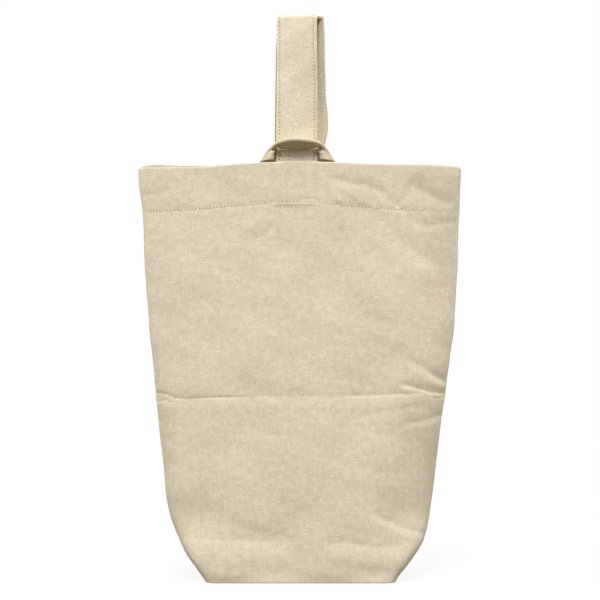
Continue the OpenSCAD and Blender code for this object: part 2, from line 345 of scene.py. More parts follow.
def makeLamps():
    for name, lamp in lamps.items():
        data = bpy.data.lights.new(name, "AREA")
        data.shape = "SQUARE"
        data.size = lamp["size"]
        data.energy = lamp["watts"]
        data.color = lamp["tint"]
        item = addObject(name, data)
        item.location = lamp["place"]
        aim = Vector((0, 0, lamp["aim"])) - Vector(lamp["place"])
        item.rotation_euler = aim.to_track_quat("-Z", "Y").to_euler()


makeFloor(floorSpec)
makeSky()
makeLamps()
view = bpy.context.scene.view_settings
view.view_transform = "Standard"
print("floor and light made")


# A smooth curve through a table of places.
def through(table, x):
    xs, ys = np.array(table, float).T
    slopes = np.gradient(ys, xs)
    x = np.clip(x, xs[0], xs[-1])
    k = np.clip(np.searchsorted(xs, x, side="right") - 1, 0, len(xs) - 2)
    width = xs[k + 1] - xs[k]
    t = (x - xs[k])/width
    return ((2*t**3 - 3*t**2 + 1)*ys[k] + (t**3 - 2*t**2 + t)*width*slopes[k]
            + (-2*t**3 + 3*t**2)*ys[k + 1] + (t**3 - t**2)*width*slopes[k + 1])


def ease(x):
    x = np.clip(x, 0, 1)
    return x*x*(3 - 2*x)


# From 0 to 1 as a value goes from start to end.
def fade(value, start, end):
    return ease((value - start)/(end - start))


# Smooth bumps with no repeat: a few slanting waves, settled by a seed.
def ripple(x, y, wavelength, seed, waves=9):
    source = np.random.default_rng(seed)
    total = np.zeros_like(x)
    for _ in range(waves):
        turn = source.uniform(0, math.tau)
        length = wavelength*source.uniform(0.7, 1.5)
        phase = source.uniform(0, math.tau)
        total += np.sin(math.tau*(x*math.cos(turn) + y*math.sin(turn))/length + phase)
    return total/math.sqrt(waves)


# How far along a row of places each of them lies.
def lengthsAlong(places):
    steps = np.linalg.norm(np.diff(places, axis=0), axis=1)
    return np.concatenate([[0], np.cumsum(steps)])


# How far points lie from a line of places, which side, and how far along it (0 to 1).
def offLine(px, py, line):
    line = np.array(line, float)
    steps = np.diff(line, axis=0)
    lengths = np.hypot(*steps.T)
    before = np.concatenate([[0], np.cumsum(lengths)])
    best = np.full(px.shape, 1e9)
    side = np.zeros_like(px)
    share = np.zeros_like(px)
    for k, (dx, dy) in enumerate(steps):
        t = ((px - line[k, 0])*dx + (py - line[k, 1])*dy)/lengths[k]**2
        held = np.clip(t, 0, 1)
        ox = px - line[k, 0] - held*dx
        oy = py - line[k, 1] - held*dy
        off = np.hypot(ox, oy)
        nearer = off < best
        best = np.where(nearer, off, best)
        side = np.where(nearer, np.sign(dx*oy - dy*ox), side)
        share = np.where(nearer, (before[k] + held*lengths[k])/before[-1], share)
    return best, side, share


# A mesh with its maps, in the material that has its slot's name.
def makeMesh(name, points, faces, body, slot, replaces, maps, blend=None):
    mesh = bpy.data.meshes.new(name)
    mesh.from_pydata([tuple(p) for p in points], [], faces)
    for mapName, places in maps.items():
        layer = mesh.uv_layers.new(name=mapName)
        corners = np.empty(len(mesh.loops), np.int32)
        mesh.loops.foreach_get("vertex_index", corners)
        layer.data.foreach_set("uv", np.asarray(places, np.float32)[corners].ravel())
    mesh.polygons.foreach_set("use_smooth", [True]*len(mesh.polygons))
    mesh.materials.append(materials[slot])
    mesh.validate()
    item = addObject(name, mesh)
    settle(item, body, replaces, blend)
    return item


def settle(item, body, replaces, blend):
    if blend:
        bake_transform(item)
    else:
        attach(item, body)
    if replaces:
        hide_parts(*replaces)


# Faces between two neighbouring rows of points, for a grid kept row by row.
def gridFaces(rows, columns, start=0, closed=False):
    faces = []
    for r in range(rows - 1):
        for c in range(columns if closed else columns - 1):
            a = start + r*columns + c
            b = start + r*columns + (c + 1) % columns
            faces.append((a, b, b + columns, a + columns))
    return faces


# Faces of a tube of rings, with both its ends closed.
def tubeFaces(rows, size, start=0):
    last = start + (rows - 1)*size
    return (gridFaces(rows, size, start, closed=True)
            + [tuple(start + c for c in reversed(range(size))),
               tuple(last + c for c in range(size))])


# A ring round a strip of cloth: once over it (1) and once back under it (-1).
def ringOf(count):
    back = [(c, -1) for c in reversed(range(1, count - 1))]
    return [(c, 1) for c in range(count)] + back


bag = {
    "height": 350*mm, "mouthDepth": 22*mm, "baseDepth": 110*mm, "cloth": 0.8*mm,
    "hem": 34.5*mm, "hemCloth": 1.6*mm, "baseRound": 0.7*mm,
    # The hem stands out so far at its stitches, and at its top right edge.
    "lean": 3*mm, "rightLean": 1.1*mm,
    # Near the side seams and the base the folds die out, and the seams are drawn in.
    "seamRound": 3*mm, "seamPlain": 6*mm, "basePlain": 9*mm, "seamDent": 0.5*mm,
    "seamDentWide": 1.6*mm,
    # Points across each side, those before the first stitch, and rows of them in each
    # stretch. Rows lie closer together round some heights: the height, over how much of
    # it, how much closer.
    "columns": 224, "plainColumns": 4, "closeRows": [(154*mm, 9*mm, 3.0),
                                                            (34*mm, 8*mm, 1.5)],
    "rows": {"base": 9, "baseTurn": 7, "wall": 176, "hemFoot": 17, "hem": 24,
             "hemTurn": 8, "hemInside": 24, "inside": 54},
    # The back is cut from another place of the cloth (m).
    "backCloth": 0.31,
    # Soft unevenness: how long and how high the waves are.
    "ripples": [(120, 0.7*mm), (42, 0.27*mm), (15, 0.07*mm)], "hemStep": 0.14*mm,
    # How full the bag stands, from its base to the hem.
    "fullness": [(0, 1), (0.11, 0.888), (0.25, 0.755), (0.48, 0.52), (0.66, 0.33),
                 (0.8, 0.19), (0.9, 0.08), (1, 0)],
    # How square it is in plan.
    "square": [(0, 24), (0.03, 19), (0.06, 12), (0.1, 7.5), (0.25, 7), (0.5, 8),
               (0.75, 7), (0.9, 9), (1, 7)],
    # Its side outline: down the frame, and the left and right edges.
    "sides": [(160, 137.8, 461.8), (170, 138, 461.4), (182, 139, 460.6),
              (203, 142, 460), (222, 143, 459), (240, 143.4, 458.6), (264, 144.4, 458),
              (288, 146, 456.6), (312, 148, 455.4), (330, 149, 454.4),
              (348, 151, 451.6), (366, 153, 449.4), (378, 154, 447.6),
              (390, 155, 446.4), (402, 156, 444.6), (414, 157.4, 442.6),
              (432, 159, 440.4), (456, 162, 437.6), (480, 164.4, 434.6),
              (492, 165.6, 433), (504, 168, 431.2), (516, 171, 429), (528, 175, 426),
              (540, 180.4, 421), (552, 188.6, 412.6), (564, 199, 402.6),
              (572, 205.4, 395.8), (576, 208, 393.4)],
    # Rows down the frame: the top edge and the hem's row of stitches.
    "top": [(136, 171), (138, 169), (142, 167.8), (147, 167.5), (180, 167.2),
            (200, 166.5), (222, 164.9), (242, 163.4), (262, 162.4), (280, 161.6),
            (316, 161.5), (334, 162), (356, 163.2), (396, 164.2), (440, 165.3),
            (450, 166.2), (458, 167.2), (462, 169.6), (464, 171)],
    "backTop": [(136, 171), (138, 168.4), (142, 166), (147, 164.7), (180, 164),
                (200, 164), (222, 164.4), (242, 163.2), (262, 162.4), (280, 161.8),
                (316, 161.8), (334, 162.3), (356, 163.2), (396, 164.2), (440, 165.3),
                (450, 166.2), (458, 167.2), (462, 169.6), (464, 171)],
    "hemRow": [(136, 212), (146, 211.6), (200, 208.6), (240, 205.2), (275, 202),
               (316, 201.8), (350, 205.8), (410, 209.8), (458, 212), (464, 212.2)],
}


# Half depth at a share of the height up to the hem.
def halfDepth(share):
    deep, flat = bag["baseDepth"]/2, bag["mouthDepth"]/2
    return flat + (deep - flat)*through(bag["fullness"], share/hemShare) + lean(share)


# How far the hem stands out of its upright place: most at its row of stitches.
def lean(share):
    hem = np.clip((1 - share)/(1 - hemShare), 0, 1)
    return bag["lean"]*hem*ease((share/hemShare - 0.35)/0.65)


hemShare = 1 - bag["hem"]/bag["height"]
outlineSteps = np.sin(np.linspace(-math.pi/2, math.pi/2, 4001))


# Half of the bag's outline in plan, evenly spaced from the left seam to the right.
def planRow(share):
    z = share*bag["height"]
    _, down = toFrame(0, 0, z)
    left, _ = fromFrame(through([(a, b) for a, b, c in bag["sides"]], down), 0, 0)
    right, _ = fromFrame(through([(a, c) for a, b, c in bag["sides"]], down), 0, 0)
    power = float(through(bag["square"], share))
    corner = 1/(1 + 7*(1 - share)**14)
    x = (left + right)/2 + (right - left)/2*outlineSteps
    y = -halfDepth(share)*np.maximum(0, 1 - np.abs(outlineSteps)**power)**corner
    girth = np.concatenate([[0], np.cumsum(np.hypot(np.diff(x), np.diff(y)))])
    even = np.linspace(0, girth[-1], bag["columns"])
    return np.interp(even, girth, x), np.interp(even, girth, y), even - girth[-1]/2


# Folds of the front: a line of places in the photograph's frame, how deep the fold is
# and how wide above and below the line (mm). Then how sharp it is, where that isn't
# 1.5, and the ridge below it: its height, how far below it lies and its width (mm).
frontFolds = [
    ([(140, 400), (163, 398), (185, 398.6), (207, 397.4), (238, 397.2), (270, 396.4),
     (295, 395.8), (334, 396.4), (381, 395), (403, 393.8), (426, 391.8), (446, 394)],
     0.42, 6.2, 5.2, 1.25, (0.12, 8.0, 5.0)),
    ([(172, 399.4), (184, 399), (198, 398.2), (218, 397.2), (252, 396.8)], 0.3, 1.1,
     2.2),
    ([(140, 390), (158, 393.2), (166, 394.4), (172, 397.4), (182, 399.4)], 0.4, 1.9,
     1.1),
    ([(140, 405), (158, 401.6), (170, 400)], 0.34, 1.3, 1.1),
    ([(166, 401.6), (178, 403.6), (188, 404.4)], 0.26, 1.2, 1.2),
    ([(340, 397), (372, 395.6), (400, 394.6), (430, 393.6)], 0.3, 3.0, 1.2),
    ([(296.6, 397), (297.4, 405)], 0.35, 1.1, 1.4),
    ([(406, 358), (420, 366.5), (436, 376), (452, 383), (476, 392)], 0.8, 4.4, 3.0, 1.5,
     (0.3, 6.0, 3.0)),
    ([(396, 383.5), (416, 388), (432, 392.4), (452, 394), (476, 395)], 1.05, 3.8, 2.0),
    ([(424, 370), (436, 377.5), (448, 383), (470, 388)], 0.6, 2.6, 1.8),
    ([(426, 396.4), (436, 398.4), (448, 396.4), (470, 392)], 0.35, 1.8, 1.6),
    ([(398, 425), (416, 422.5), (427, 420), (436, 416.4), (446, 413), (470, 405)], 0.85,
     2.4, 1.8),
    ([(352, 417), (380, 413), (410, 407.5), (430, 404)], 0.3, 3.0, 2.4),
    ([(166, 536), (178.8, 537.5), (207, 539), (234, 540.8), (262, 541.4), (300, 541.8)],
     0.8, 11, 7.0, 1.3, (0.5, 15.0, 9.0)),
    ([(318, 541.8), (344, 543.6), (374.7, 546.7), (398, 546.9), (412, 542), (428, 535)],
     0.8, 10, 5.5, 1.25, (0.45, 12.0, 8.0)),
    ([(205, 509), (217, 515), (236, 525), (262, 532), (292, 537)], 0.32, 4.6, 5.0),
    ([(370, 513), (383, 519), (403, 527), (430, 535)], 0.65, 3.0, 3.4, 1.5, (0.3, 6.0,
     3.5)),
    ([(270, 204.6), (280, 204.2), (296, 204)], -0.2, 0.9, 1.4),
    ([(288, 203.8), (302, 203.8), (320, 204.2)], -0.13, 1.0, 1.6),
    ([(269, 206), (277, 207.8), (286, 208), (297, 207)], 0.13, 1.3, 3.2),
    ([(298, 199.4), (308, 198.8), (322, 200)], 0.3, 1.8, 1.2),
    ([(266, 224), (272, 229), (260, 237), (252, 244)], 0.45, 3.2, 3.0),
    ([(262, 214), (256, 222), (243, 232)], -0.5, 3.4, 3.0),
    ([(320, 172), (327, 186), (336, 198), (348, 206)], -0.42, 3.0, 3.4),
    ([(340, 186), (358, 199), (378, 210)], -0.45, 3.2, 3.2),
    ([(328, 178), (346, 182), (364, 185), (392, 194)], 0.75, 4.6, 3.6),
    ([(378, 190), (388, 199), (402, 208)], 0.45, 3.4, 3.2),
    ([(406, 182), (422, 191), (438, 200), (456, 206)], 1.2, 7.0, 9.0),
    ([(138, 197), (146, 195), (158, 193.5), (172, 189)], 0.5, 4.0, 3.0),
    ([(404, 216), (416, 222), (430, 226), (448, 223), (462, 220)], 0.55, 4.0, 3.0),
    ([(372, 214), (392, 232), (416, 252), (440, 266)], 0.7, 8, 6),
    ([(334, 216), (356, 232), (382, 246), (402, 266)], -0.5, 7, 7),
    ([(160, 226), (188, 262), (202, 302)], -0.6, 14, 16),
    ([(300, 262), (352, 300), (398, 345)], 0.5, 16, 14),
    ([(430, 262), (404, 318), (392, 352)], -0.6, 13, 15),
]
backFolds = [
    ([(148, 395), (182, 397.5), (226, 396), (281, 397.2), (330, 395.4), (372, 397.4),
     (412, 396), (450, 399)], 1.0, 4.0, 3.0, 1.5, (0.35, 5.0, 3.0)),
    ([(146, 372), (166, 380), (186, 384)], 0.8, 2.8, 2.4, 1.5, (0.5, 5.0, 2.6)),
    ([(150, 416), (172, 410), (196, 409)], 0.7, 2.6, 2.6),
    ([(170, 535), (214, 541), (262, 543), (318, 542), (368, 544), (430, 537)], 0.7, 3.4,
     3.0, 1.5, (0.4, 6.0, 4.0)),
    ([(198, 512), (232, 526), (284, 535)], 0.55, 3.0, 3.4),
    ([(404, 510), (376, 523), (332, 533)], 0.5, 3.0, 3.4),
    ([(178, 178), (196, 190), (206, 204)], 0.5, 3.0, 3.0),
    ([(404, 180), (386, 193), (372, 205)], -0.5, 3.0, 3.0),
    ([(226, 222), (244, 232), (252, 246)], 0.5, 3.4, 3.0),
    ([(180, 250), (214, 300), (222, 356)], 0.6, 15, 14),
    ([(402, 246), (376, 300), (372, 352)], -0.6, 14, 15),
]
# Where the strap's ends lie under the hem, in the photograph's frame.
strapEnd = {"left": 273.0, "right": 316.5, "low": 204.0, "proud": 0.42*mm}
# What the two sides have of their own: the hem's cloth is pulled in at its stitches
# and gathers a little, so many millimetres apart.
sides = {
    "front": {"folds": frontFolds, "seeds": (3, 4, 5), "top": bag["top"],
              "pull": 0.08*mm, "gathers": ((0.12*mm, 9.2), (0.08*mm, 5.3))},
    "back": {"folds": backFolds, "seeds": (13, 14, 15), "top": bag["backTop"],
             "pull": 0.1*mm, "gathers": ((0.12*mm, 8.4), (0.08*mm, 5.9))},
}
foldStrength = 1.1


def foldShape(px, py, line, deep, above, below, sharp=1.5, lip=None):
    off, side, share = offLine(px, py, line)
    off = off*photoStep
    ends = ease(share/0.16)*ease((1 - share)/0.16)
    total = -deep*ends*np.exp(-(off/np.where(side > 0, below, above))**sharp)
    if lip:
        high, at, wide = lip
        total += high*ends*np.where(side > 0, np.exp(-((off - at)/wide)**2), 0)
    return total*foldStrength*mm


# How far a side of the bag stands out of its plain shape, in metres.
def sideFace(px, py, side):
    push = sum(foldShape(px, py, *fold) for fold in side["folds"])
    for (wavelength, high), seed in zip(bag["ripples"], side["seeds"]):
        push = push + ripple(px, py, wavelength, seed)*high
    offHem = (py - through(bag["hemRow"], px))*photoStep*mm
    if side is sides["front"]:
        inStrap = ease((px - strapEnd["left"])/2.2)*ease((strapEnd["right"] - px)/2.2)
        push += strapEnd["proud"]*inStrap*ease((strapEnd["low"] + 4.5 - py)/6.5)
        push += bag["rightLean"]*ease((px - 330)/34)*np.clip(-offHem/(33*mm), 0, 1)
    gathers = sum(high*np.sin(px*photoStep*math.tau/apart)
                  for high, apart in side["gathers"])
    push -= np.exp(-(offHem/(1.5*mm))**2)*(side["pull"] + gathers)
    return push + bag["hemStep"]*ease(-offHem/(4*mm))


# One row of points round half the bag at a share of its height: it lies inset from the
# outside, and up to a rounding below its place.
def wallRow(share, side, inset=0.0, down=0.0):
    x, y, girth = planRow(share)
    tx, ty = np.gradient(x), np.gradient(y)
    length = np.hypot(tx, ty)
    nx, ny = ty/length, -tx/length
    toSeam = girth[-1] - np.abs(girth)
    turn = fade(toSeam, bag["seamRound"], 0)
    nx = nx*(1 - turn) + np.sign(girth)*turn
    ny = ny*(1 - turn)
    length = np.hypot(nx, ny)
    nx, ny = nx/length, ny/length
    z = np.full_like(x, share*bag["height"])
    px, _ = toFrame(x, y, z)
    _, hemZ = fromFrame(px, through(bag["hemRow"], px), y)
    _, topZ = fromFrame(px, through(side["top"], px), y)
    if share >= hemShare:
        z = hemZ + (topZ - hemZ)*(share - hemShare)/(1 - hemShare)
    else:
        z = z + (hemZ - hemShare*bag["height"])*(share/hemShare)**4
    z = z - down
    _, py = toFrame(x, y, z)
    push = sideFace(px, py, side)*fade(toSeam, 0, bag["seamPlain"])
    push *= fade(z, 0, bag["basePlain"])
    push -= bag["seamDent"]*np.exp(-(toSeam/bag["seamDentWide"])**2)
    out = push - inset
    return np.column_stack([x + nx*out, y + ny*out, z]), girth, z - hemZ


# Half of the bag: under the base, up the wall, over the top and down its inside.
def panelPoints(side):
    spec = bag
    high, turn, half = spec["height"], spec["baseRound"], spec["hemCloth"]/2
    count = spec["rows"]
    rows, maps = [], []
    baseRow, girth, _ = wallRow(0.0, side, inset=turn)
    baseRow[:, 2] = 0
    seam = np.column_stack([np.interp(girth, [girth[0], girth[-1]],
                                      [baseRow[0, 0], baseRow[-1, 0]]),
                            np.zeros_like(girth), np.zeros_like(girth)])
    deep = spec["baseDepth"]/2

    # One row with its place on the cloth, and how far it lies off the hem's stitches
    # (1 m where there are none).
    def keep(points, along, up, off=1.0):
        rows.append(points)
        maps.append((np.column_stack([along, np.broadcast_to(up, along.shape)]),
                     np.column_stack([along - along[spec["plainColumns"]],
                                      np.broadcast_to(off, along.shape)])))

    for share in np.linspace(0, 1, count["base"])[:-1]:
        keep(seam + (baseRow - seam)*share, girth, -deep*(1 - share))
    for angle in np.linspace(0, math.pi/2, count["baseTurn"])[:-1]:
        z = turn*(1 - math.cos(angle))
        points, girth, _ = wallRow(z/high, side, inset=turn*(1 - math.sin(angle)))
        keep(points, girth, z)
    wallTop = hemShare - 4.2*mm/high
    steps = np.linspace(0, 1, 4001)
    close = 1 + sum(strength*np.exp(-((steps*wallTop*high - z)/spread)**2)
                    for z, spread, strength in spec["closeRows"])
    passed = np.concatenate([[0], np.cumsum((close[1:] + close[:-1])/2)])
    even = np.interp(np.linspace(0, 1, count["wall"]), passed/passed[-1], steps)
    hemFoot = hemShare + 3.5*mm/high
    shares = np.concatenate([turn/high + even[:-1]*(wallTop - turn/high),
                             np.linspace(wallTop, hemFoot, count["hemFoot"])[:-1],
                             np.linspace(hemFoot, 1 - half/high, count["hem"])])
    for share in shares:
        points, girth, off = wallRow(share, side)
        keep(points, girth, share*high, off)
    for angle in np.linspace(0, math.pi, count["hemTurn"])[1:-1]:
        points, girth, off = wallRow(1.0, side, inset=half*(1 - math.cos(angle)),
                                     down=half*(1 - math.sin(angle)))
        keep(points, girth, high + half*angle, off)
    hemEnd = hemShare - 1.5*mm/high
    for inset, top, foot, number in (
            (2*half, 1 - half/high, hemEnd, count["hemInside"]),
            (spec["cloth"], hemEnd - 0.5*mm/high, spec["cloth"]*6/high,
             count["inside"])):
        for share in np.linspace(top, foot, number):
            points, girth, off = wallRow(share, side, inset=inset)
            keep(points, girth, 2*high - share*high, off)
    inner, girth, _ = wallRow(0.0, side, inset=turn)
    inner[:, 2] = spec["cloth"]
    middle, _, _ = wallRow(2.2*mm/high, side, inset=spec["cloth"] + 1.6*mm)
    keep(middle, girth, 2*high)
    innerSeam = seam + [0, 0, spec["cloth"]]
    for share in np.linspace(1, 0, count["base"]):
        keep(innerSeam + (inner - innerSeam)*share, girth, 2*high + deep*(1 - share))
    return rows, maps


def makePanel(name, side, node):
    rows, maps = panelPoints(side)
    columns = bag["columns"]
    points = np.concatenate(rows)
    cloth = np.concatenate([m[0] for m in maps])
    row = np.concatenate([m[1] for m in maps])
    faces = gridFaces(len(rows), columns)
    last = (len(rows) - 1)*columns
    faces += [(last + c, last + c + 1, c + 1, c) for c in range(columns - 1)]
    faces.append(tuple(r*columns for r in range(len(rows))))
    faces.append(tuple(r*columns + columns - 1 for r in reversed(range(len(rows)))))
    if side is sides["back"]:
        points = points*[1, -1, 1]
        faces = [tuple(reversed(f)) for f in faces]
        cloth = cloth*[-1, 1] + [bag["backCloth"], 0]
    return makeMesh(name, points, faces, "bag", "canvas", [node],
                    {"cloth": cloth, "row": row})


frontPanel = makePanel("frontPanel", sides["front"], "front_panel")
makePanel("backPanel", sides["back"], "back_panel")
flatSizes = [round(2*planRow(share)[2][-1]/mm) for share in (1, 0.5, 0)]
print("panels made", len(frontPanel.data.polygons), "flat widths, mm", flatSizes)


stitchInputs = {"Row": "Geometry", "Pitch": "Float", "Length": "Float", "Width": "Float",
                "Height": "Float", "Slant": "Float", "Seed": "Int",
                "Material": "Material"}
# How unevenly the stitches slant.
stitchSlack = 0.07


# Rows of stitches: a row of places with a tick at each pitch, each a thread that dips
# into the cloth at both its ends.
def stitchTree():
    tree = bpy.data.node_groups.new("stitchRow", "GeometryNodeTree")
    sockets = {}
    for name, kind in stitchInputs.items():
        socket = tree.interface.new_socket(name, in_out="INPUT",
                                           socket_type="NodeSocket" + kind)
        sockets[name] = socket.identifier
    tree.interface.new_socket("Stitches", in_out="OUTPUT",
                              socket_type="NodeSocketGeometry")
    nodes = Nodes(tree)
    source = tree.nodes.new("NodeGroupInput")
    given = {name: Wire(nodes, source.outputs[name]) for name in stitchInputs}
    add = nodes.add
    route = add("GeometryNodeMeshToCurve", None, {"Mesh": given["Row"]})
    spaced = add("GeometryNodeResampleCurve", {"mode": "LENGTH"},
                 {"Curve": route, "Length": given["Pitch"]})
    ball = add("GeometryNodeMeshUVSphere", None,
               {"Segments": 8, "Rings": 6, "Radius": 0.5})
    up = add("GeometryNodeInputNamedAttribute", {"data_type": "FLOAT_VECTOR"},
             {"Name": "up"})
    along = add("FunctionNodeAlignRotationToVector", {"axis": "X"},
                {"Vector": add("GeometryNodeInputTangent")})
    upright = add("FunctionNodeAlignRotationToVector",
                  {"axis": "Z", "pivot_axis": "X"}, {"Rotation": along, "Vector": up})
    uneven = add("FunctionNodeRandomValue", {"data_type": "FLOAT"},
                 {2: -stitchSlack, 3: stitchSlack, "Seed": given["Seed"]}, 1)
    turn = add("FunctionNodeAxisAngleToRotation", None,
               {"Axis": (0, 0, 1), "Angle": given["Slant"] + uneven})
    turned = add("FunctionNodeRotateRotation", {"rotation_space": "LOCAL"},
                 {"Rotation": upright, "Rotate By": turn})
    size = add("ShaderNodeCombineXYZ", None,
               {0: given["Length"], 1: given["Width"], 2: given["Height"]})
    placed = add("GeometryNodeInstanceOnPoints", None,
                 {"Points": spaced, "Instance": ball, "Rotation": turned,
                  "Scale": size})
    real = add("GeometryNodeRealizeInstances", None, {0: placed})
    painted = add("GeometryNodeSetMaterial", None,
                  {"Geometry": real, "Material": given["Material"]})
    rounded = add("GeometryNodeSetShadeSmooth", None, {0: painted})
    add("NodeGroupOutput", None, {0: rounded})
    return tree, sockets


stitches, stitchSockets = stitchTree()


# One mesh of stitches from rows of places, each with the direction out of its cloth.
def makeStitches(name, rows, spec, body, replaces=(), blend=None):
    points, ups, edges = [], [], []
    for places, outward in rows:
        start = len(points)
        points += [tuple(p) for p in places]
        ups += [tuple(v) for v in outward]
        edges += [(start + k, start + k + 1) for k in range(len(places) - 1)]
    guide = bpy.data.meshes.new(name + "Guide")
    guide.from_pydata(points, edges, [])
    held = guide.attributes.new("up", "FLOAT_VECTOR", "POINT")
    held.data.foreach_set("vector", np.array(ups, np.float32).ravel())
    item = addObject(name + "Guide", guide)
    maker = item.modifiers.new("stitches", "NODES")
    maker.node_group = stitches
    for key in ("Pitch", "Length", "Width", "Height", "Slant", "Seed"):
        maker[stitchSockets[key]] = spec[key]
    maker[stitchSockets["Material"]] = materials["thread"]
    graph = bpy.context.evaluated_depsgraph_get()
    mesh = bpy.data.meshes.new_from_object(item.evaluated_get(graph), depsgraph=graph)
    item.modifiers.remove(maker)
    bpy.data.objects.remove(item)
    settle(addObject(name, mesh), body, replaces, blend)


# The hem's row, a little over the cloth's own row of places.
def hemPlaces(side):
    points, _, _ = wallRow(hemShare, side)
    tx, ty = np.gradient(points[:, 0]), np.gradient(points[:, 1])
    length = np.hypot(tx, ty)
    outward = np.column_stack([ty/length, -tx/length, np.zeros_like(tx)])
    points = points + outward*0.08*mm
    if side is sides["back"]:
        points, outward = points*[1, -1, 1], outward*[1, -1, 1]
    sewn = slice(bag["plainColumns"], -bag["plainColumns"])
    return points[sewn], outward[sewn]


hemThread = {"Pitch": stitchPitch, "Length": 2.1*mm, "Width": 0.6*mm, "Height": 0.45*mm,
             "Slant": 0.0, "Seed": 5}
makeStitches("hemStitchingFront", [hemPlaces(sides["front"])], hemThread, "bag",
             ["hem_stitching_front"])
makeStitches("hemStitchingBack", [hemPlaces(sides["back"])], hemThread | {"Seed": 6},
             "bag", ["hem_stitching_back"])
print("hem sewn")

strap = {
    "wide": 35*mm, "thick": 2.3*mm, "gap": 0.2*mm, "shift": -2.6*mm, "top": 475.2*mm,
    "spread": 11*mm, "turn": 16.0, "rearTurn": 18.0, "axisZ": 352.85*mm,
    "together": 20*mm, "insideY": 9.4*mm, "foot": 317*mm, "bendPower": 5.0,
    # Rows in each strand and over the bend, and those before the first stitch.
    "strandRows": 100, "bendRows": 34, "plainRows": 12,
    # The fold of the under ply shows at the left of the front strand.
    "underShift": 1.2*mm, "rowInset": 2.7*mm,
    # So far off its rows the rear strand's inner face gets a little painted shade, for
    # the front strand's shade on it, and the fold of the under ply much more, for the
    # shade between plies.
    "rearPaintedShade": -9.2*mm, "foldWide": 2.2*mm, "foldPaintedShade": 10*mm,
    # The under ply is cut from another place of the cloth (m) and lies less loose.
    "underCloth": 0.2, "underLoose": 0.6, "underBack": 0.3,
    # How deep the stitches sink in on the outer face and the inner one.
    "sunk": {1: 0.1*mm, -1: -0.02*mm},
    # The rear strand's right edge, down and across the frame.
    "rearEdge": [(10, 323.4), (22, 323.8), (40, 324.4), (90, 325.6), (138, 326.6),
                 (144, 325), (150, 321), (156, 318), (163, 316.9), (200, 316.7)],
    # The top edge is seen level, so its right end hangs a little lower, and both its
    # corners hang down.
    "topTilt": 0.032, "cornerDrop": 1.6*mm,
    # The heights from and to which these come in.
    "tiltAt": (430*mm, 465*mm), "cornerAt": (469*mm, 473*mm), "looseAt": (352*mm, 364*mm),
    "shiftAt": (469*mm, 438*mm), "shiftBackAt": (364*mm, 358*mm),
}


# The strap's route up the front strand, over the top and down the rear one: its
# middle, the direction across it and the one out of its outer face.
def strapRoute():
    spec = strap
    bendR = spec["spread"]/2
    bendZ = spec["top"] - spec["thick"]/2 - bendR
    split = spec["axisZ"] + spec["together"]
    stack = 2*spec["thick"] + spec["gap"]

    # One place of the front strand (-1) or of the rear one (1).
    def level(z, side):
        share = fade(z, split, bendZ)
        turn = math.radians(spec["turn"])*share
        apart = (spec["thick"] + spec["gap"])/2*(1 - share) + bendR*share
        y = stack/2 - spec["insideY"] + (spec["spread"] - stack)/2*share
        middle = np.array([spec["shift"] + bendR*math.sin(turn),
                           y - lean(z/bag["height"]), z])
        middle += side*apart*np.array([math.sin(turn), math.cos(turn), 0])
        if side > 0:
            turn += math.radians(spec["rearTurn"])*share
        across = np.array([math.cos(turn), -math.sin(turn), 0])
        if side > 0:
            edge = middle + across*spec["wide"]/2
            _, down = toFrame(*edge)
            wanted, _ = fromFrame(through(spec["rearEdge"], down), 0, edge[1])
            middle += across*(wanted - edge[0])/across[0]
        return middle, across, side

    front = [level(z, -1) for z in np.linspace(spec["foot"], bendZ, spec["strandRows"])]
    rear = [level(z, 1) for z in np.linspace(bendZ, spec["foot"], spec["strandRows"])]
    low, across, _ = front[-1]
    high, rearAcross, _ = rear[0]
    bend = []
    for angle in np.linspace(0, math.pi, spec["bendRows"])[1:-1]:
        cosine = math.cos(angle)
        back = (1 - math.copysign(abs(cosine)**(2/spec["bendPower"]), cosine))/2
        up = math.sin(angle)**(2/spec["bendPower"])
        turned = across + (rearAcross - across)*back
        bend.append((low + (high - low)*back + [0, 0, bendR*up],
                     turned/np.linalg.norm(turned), -cosine))
    middles, acrosses, kinds = [np.array(part) for part in zip(*front, *bend, *rear)]
    outs = np.cross(acrosses, np.gradient(middles, axis=0))
    outs /= np.linalg.norm(outs, axis=1)[:, None]
    return middles, acrosses, outs, lengthsAlong(middles), kinds


# One ply of the strap in section: places across it and out of it, with folded edges
# and a groove along each row of stitches.
def plySection(low, high):
    half, corner, near = strap["wide"]/2, (high - low)*0.3, 1.0*mm
    bead, lip, deep = high + 0.03*mm, high + 0.02*mm, 0.16*mm
    places = [(-half + corner, high), (-half + near, bead)]
    for side in (-1, 1):
        row = side*(half - strap["rowInset"])
        places += [(row - near, lip), (row - near/2, high - deep/2), (row, high - deep),
                   (row + near/2, high - deep/2), (row + near, lip)]
        if side < 0:
            places += [(x, high) for x in np.linspace(row + 3*near, -row - 3*near, 9)]
    places += [(half - near, bead), (half - corner, high), (half, (low + high)/2),
               (half - corner, low)]
    places += [(x, low) for x in np.linspace(half - 2*near, -half + 2*near, 7)]
    return places + [(-half + corner, low), (-half, (low + high)/2)]


# How far the strap's cloth stands out of its plain route at a place.
def strapSwell(x, s):
    return (0.4*mm*np.cos(math.pi*x/strap["wide"])*np.sin(s/(23*mm) + 0.6)
            + 0.22*mm*np.sin(s/(9.5*mm) + x/(11*mm))
            + 0.16*mm*np.sin(s/(5.2*mm) - x/(6*mm)))


def strapPlace(route, k, x, out):
    middles, acrosses, outs, _, _ = route
    place = middles[k] + acrosses[k]*x + outs[k]*out
    z = middles[k, 2]
    place[2] -= strap["topTilt"]*x*fade(z, *strap["tiltAt"])
    corner = abs(x/strap["wide"]*2)**12
    place[2] -= strap["cornerDrop"]*corner*fade(z, *strap["cornerAt"])
    return place


